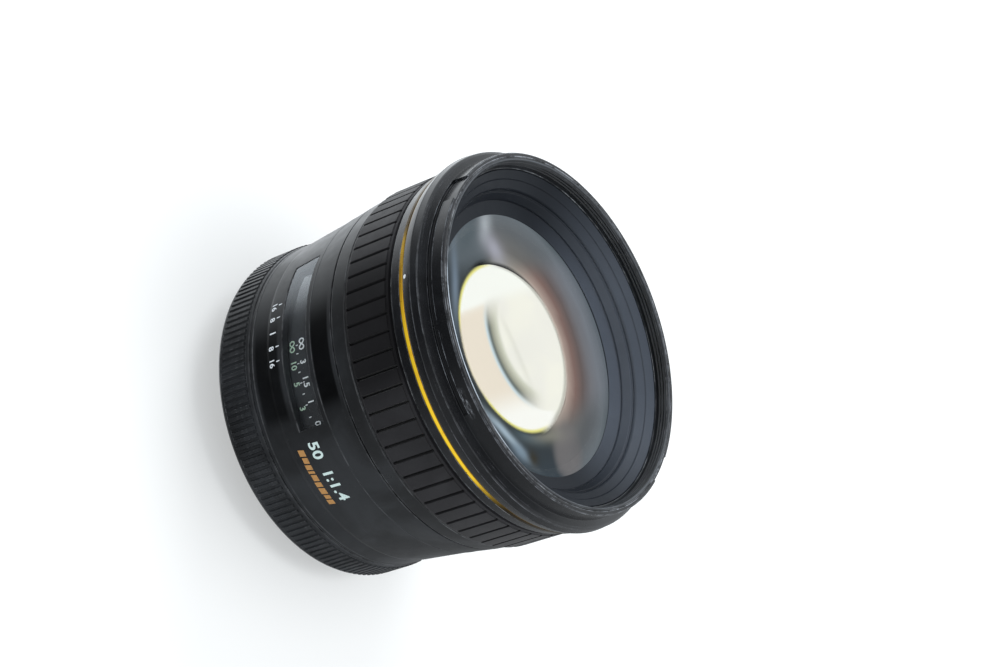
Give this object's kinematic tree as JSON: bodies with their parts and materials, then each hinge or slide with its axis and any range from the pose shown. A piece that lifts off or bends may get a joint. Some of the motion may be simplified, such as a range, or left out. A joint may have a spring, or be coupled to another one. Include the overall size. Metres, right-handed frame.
{
  "type": "prime camera lens",
  "caption": "Fast standard prime lens: ribbed focus ring, distance window, gold band, hood bayonet, extending front tube, iris diaphragm, ring motor and three-lug metal mount.",
  "frame": {"origin": "centre of the mount flange face, where the optical axis crosses it", "axes": "+Z along the optical axis towards the front rim; the distance window faces -Y; +X completes a right-handed frame and is the right-hand side for a user behind the camera with the window up"},
  "size_m": [0.0844, 0.0844, 0.0734],
  "materials": {
    "mount_metal": "satin plated brass, fine circular brushing",
    "screw_steel": "bright nickel",
    "barrel_plastic": "satin moulded black with fine grain",
    "front_band_plastic": "semi-gloss black with worn bright edges",
    "grip_rubber": "matt ribbed rubber",
    "inner_black": "matt anti-reflection black",
    "gold_anodised": "gold anodised",
    "bare_aluminium": "machined",
    "brass_part": "machined",
    "spring_steel": "plain",
    "blade_black": "dry-film black",
    "coated_glass": "multi-coated optical glass",
    "window_clear": "clear acrylic",
    "felt": "pressed felt",
    "board_green": "solder mask",
    "flex_amber": "polyimide film",
    "contact_gold": "gold plated",
    "pinion_resin": "acetal"
  },
  "bodies": {
    "barrel": {"mount_flange": "mount_metal", "mount_screws": "screw_steel", "rear_baffle": "inner_black", "contact_block": "inner_black", "contact_pins": "contact_gold", "contact_flex": "flex_amber", "main_board": "board_green", "rear_barrel": "barrel_plastic", "main_barrel": "barrel_plastic", "window_pane": "window_clear", "switch_plate": "barrel_plastic", "guide_tube": "bare_aluminium", "inner_screws": "screw_steel", "wave_spring": "spring_steel", "felt_ring": "felt", "motor_stator": "brass_part", "cam_retainer": "spring_steel", "front_barrel": "front_band_plastic", "gold_ring": "gold_anodised"},
    "focus": {"focus_ring": "barrel_plastic", "focus_grip": "grip_rubber", "focus_key": "spring_steel", "manual_ring": "bare_aluminium"},
    "cam": {"cam_ring": "brass_part", "distance_scale": "inner_black"},
    "optical_block": {"cam_followers": "brass_part", "carrier_tube": "inner_black", "front_cell": "inner_black", "front_tube": "inner_black", "front_baffle": "inner_black", "lens_1": "coated_glass", "lens_2": "coated_glass", "lens_3": "coated_glass", "aperture_base": "inner_black", "aperture_cover": "inner_black", "aperture_motor": "bare_aluminium", "lens_4": "coated_glass", "lens_5": "coated_glass", "lens_6": "coated_glass", "lens_7": "coated_glass", "lens_8": "coated_glass", "rear_cell": "inner_black", "rear_spacers": "inner_black", "rear_retaining_ring": "inner_black"},
    "rotor": {"motor_rotor": "bare_aluminium"},
    "roller_a": {"roller_1": "spring_steel"},
    "roller_b": {"roller_2": "spring_steel"},
    "roller_c": {"roller_3": "spring_steel"},
    "diaphragm_ring": {"aperture_ring": "blade_black"},
    "diaphragm_pinion": {"aperture_pinion": "pinion_resin"},
    "switch": {"af_mf_switch": "barrel_plastic"},
    "blade_1": {"aperture_blade_1": "blade_black"},
    "blade_2": {"aperture_blade_2": "blade_black"},
    "blade_3": {"aperture_blade_3": "blade_black"},
    "blade_4": {"aperture_blade_4": "blade_black"},
    "blade_5": {"aperture_blade_5": "blade_black"},
    "blade_6": {"aperture_blade_6": "blade_black"},
    "blade_7": {"aperture_blade_7": "blade_black"},
    "blade_8": {"aperture_blade_8": "blade_black"},
    "blade_9": {"aperture_blade_9": "blade_black"}
  },
  "joints": [
    {"name": "focus_turn", "type": "hinge", "parent": "barrel", "child": "focus", "pos_m": [0, 0, 0.048], "axis": [0, 0, -1], "range_deg": [0, 96]},
    {"name": "cam_turn", "type": "hinge", "parent": "barrel", "child": "cam", "pos_m": [0, 0, 0.03], "axis": [0, 0, -1], "range_deg": [0, 48]},
    {"name": "block_slide", "type": "slide", "parent": "barrel", "child": "optical_block", "axis": [0, 0, 1], "range_m": [0, 0.0068]},
    {"name": "rotor_spin", "type": "hinge", "parent": "barrel", "child": "rotor", "pos_m": [0, 0, 0.017], "axis": [0, 0, -1], "continuous": true},
    {"name": "roller_a_spin", "type": "hinge", "parent": "cam", "child": "roller_a", "pos_m": [0.03299, 0.00582, 0.02022], "axis": [0.9848, 0.1736, 0], "range_deg": [0, 1019]},
    {"name": "roller_b_spin", "type": "hinge", "parent": "cam", "child": "roller_b", "pos_m": [-0.02153, 0.02566, 0.02022], "axis": [-0.6428, 0.766, 0], "range_deg": [0, 1019]},
    {"name": "roller_c_spin", "type": "hinge", "parent": "cam", "child": "roller_c", "pos_m": [-0.01146, -0.03148, 0.02022], "axis": [-0.342, -0.9397, 0], "range_deg": [0, 1019]},
    {"name": "diaphragm_turn", "type": "hinge", "parent": "optical_block", "child": "diaphragm_ring", "pos_m": [0, 0, 0.0338], "axis": [0, 0, 1], "range_deg": [0, 5.05]},
    {"name": "blade_1_turn", "type": "hinge", "parent": "optical_block", "child": "blade_1", "pos_m": [0.0222, 0, 0.03206], "axis": [0, 0, 1], "range_deg": [0, 34.91]},
    {"name": "blade_2_turn", "type": "hinge", "parent": "optical_block", "child": "blade_2", "pos_m": [0.01701, 0.01427, 0.0322], "axis": [0, 0, 1], "range_deg": [0, 34.91]},
    {"name": "blade_3_turn", "type": "hinge", "parent": "optical_block", "child": "blade_3", "pos_m": [0.00385, 0.02186, 0.03234], "axis": [0, 0, 1], "range_deg": [0, 34.91]},
    {"name": "blade_4_turn", "type": "hinge", "parent": "optical_block", "child": "blade_4", "pos_m": [-0.0111, 0.01923, 0.03248], "axis": [0, 0, 1], "range_deg": [0, 34.91]},
    {"name": "blade_5_turn", "type": "hinge", "parent": "optical_block", "child": "blade_5", "pos_m": [-0.02086, 0.00759, 0.03262], "axis": [0, 0, 1], "range_deg": [0, 34.91]},
    {"name": "blade_6_turn", "type": "hinge", "parent": "optical_block", "child": "blade_6", "pos_m": [-0.02086, -0.00759, 0.03276], "axis": [0, 0, 1], "range_deg": [0, 34.91]},
    {"name": "blade_7_turn", "type": "hinge", "parent": "optical_block", "child": "blade_7", "pos_m": [-0.0111, -0.01923, 0.0329], "axis": [0, 0, 1], "range_deg": [0, 34.91]},
    {"name": "blade_8_turn", "type": "hinge", "parent": "optical_block", "child": "blade_8", "pos_m": [0.00385, -0.02186, 0.03304], "axis": [0, 0, 1], "range_deg": [0, 34.91]},
    {"name": "blade_9_turn", "type": "hinge", "parent": "optical_block", "child": "blade_9", "pos_m": [0.01701, -0.01427, 0.03318], "axis": [0, 0, 1], "range_deg": [0, 34.91]},
    {"name": "pinion_turn", "type": "hinge", "parent": "optical_block", "child": "diaphragm_pinion", "pos_m": [0.02312, 0.00841, 0.0338], "axis": [0, 0, 1], "range_deg": [0, 87.92]},
    {"name": "switch_slide", "type": "slide", "parent": "barrel", "child": "switch", "axis": [0, 0, 1], "range_m": [0, 0.0036]}
  ],
  "couplings": [
    {"joint": "cam_turn", "follows": "block_slide", "rad_per_m": 123.2},
    {"joint": "focus_turn", "follows": "block_slide", "rad_per_m": 246.4},
    {"joint": "roller_a_spin", "follows": "block_slide", "rad_per_m": 2612.1},
    {"joint": "roller_b_spin", "follows": "block_slide", "rad_per_m": 2612.1},
    {"joint": "roller_c_spin", "follows": "block_slide", "rad_per_m": 2612.1},
    {"joint": "blade_1_turn", "follows": "diaphragm_turn", "ratio": 6.9066},
    {"joint": "blade_2_turn", "follows": "diaphragm_turn", "ratio": 6.9066},
    {"joint": "blade_3_turn", "follows": "diaphragm_turn", "ratio": 6.9066},
    {"joint": "blade_4_turn", "follows": "diaphragm_turn", "ratio": 6.9066},
    {"joint": "blade_5_turn", "follows": "diaphragm_turn", "ratio": 6.9066},
    {"joint": "blade_6_turn", "follows": "diaphragm_turn", "ratio": 6.9066},
    {"joint": "blade_7_turn", "follows": "diaphragm_turn", "ratio": 6.9066},
    {"joint": "blade_8_turn", "follows": "diaphragm_turn", "ratio": 6.9066},
    {"joint": "blade_9_turn", "follows": "diaphragm_turn", "ratio": 6.9066},
    {"joint": "pinion_turn", "follows": "diaphragm_turn", "ratio": 17.4}
  ]
}
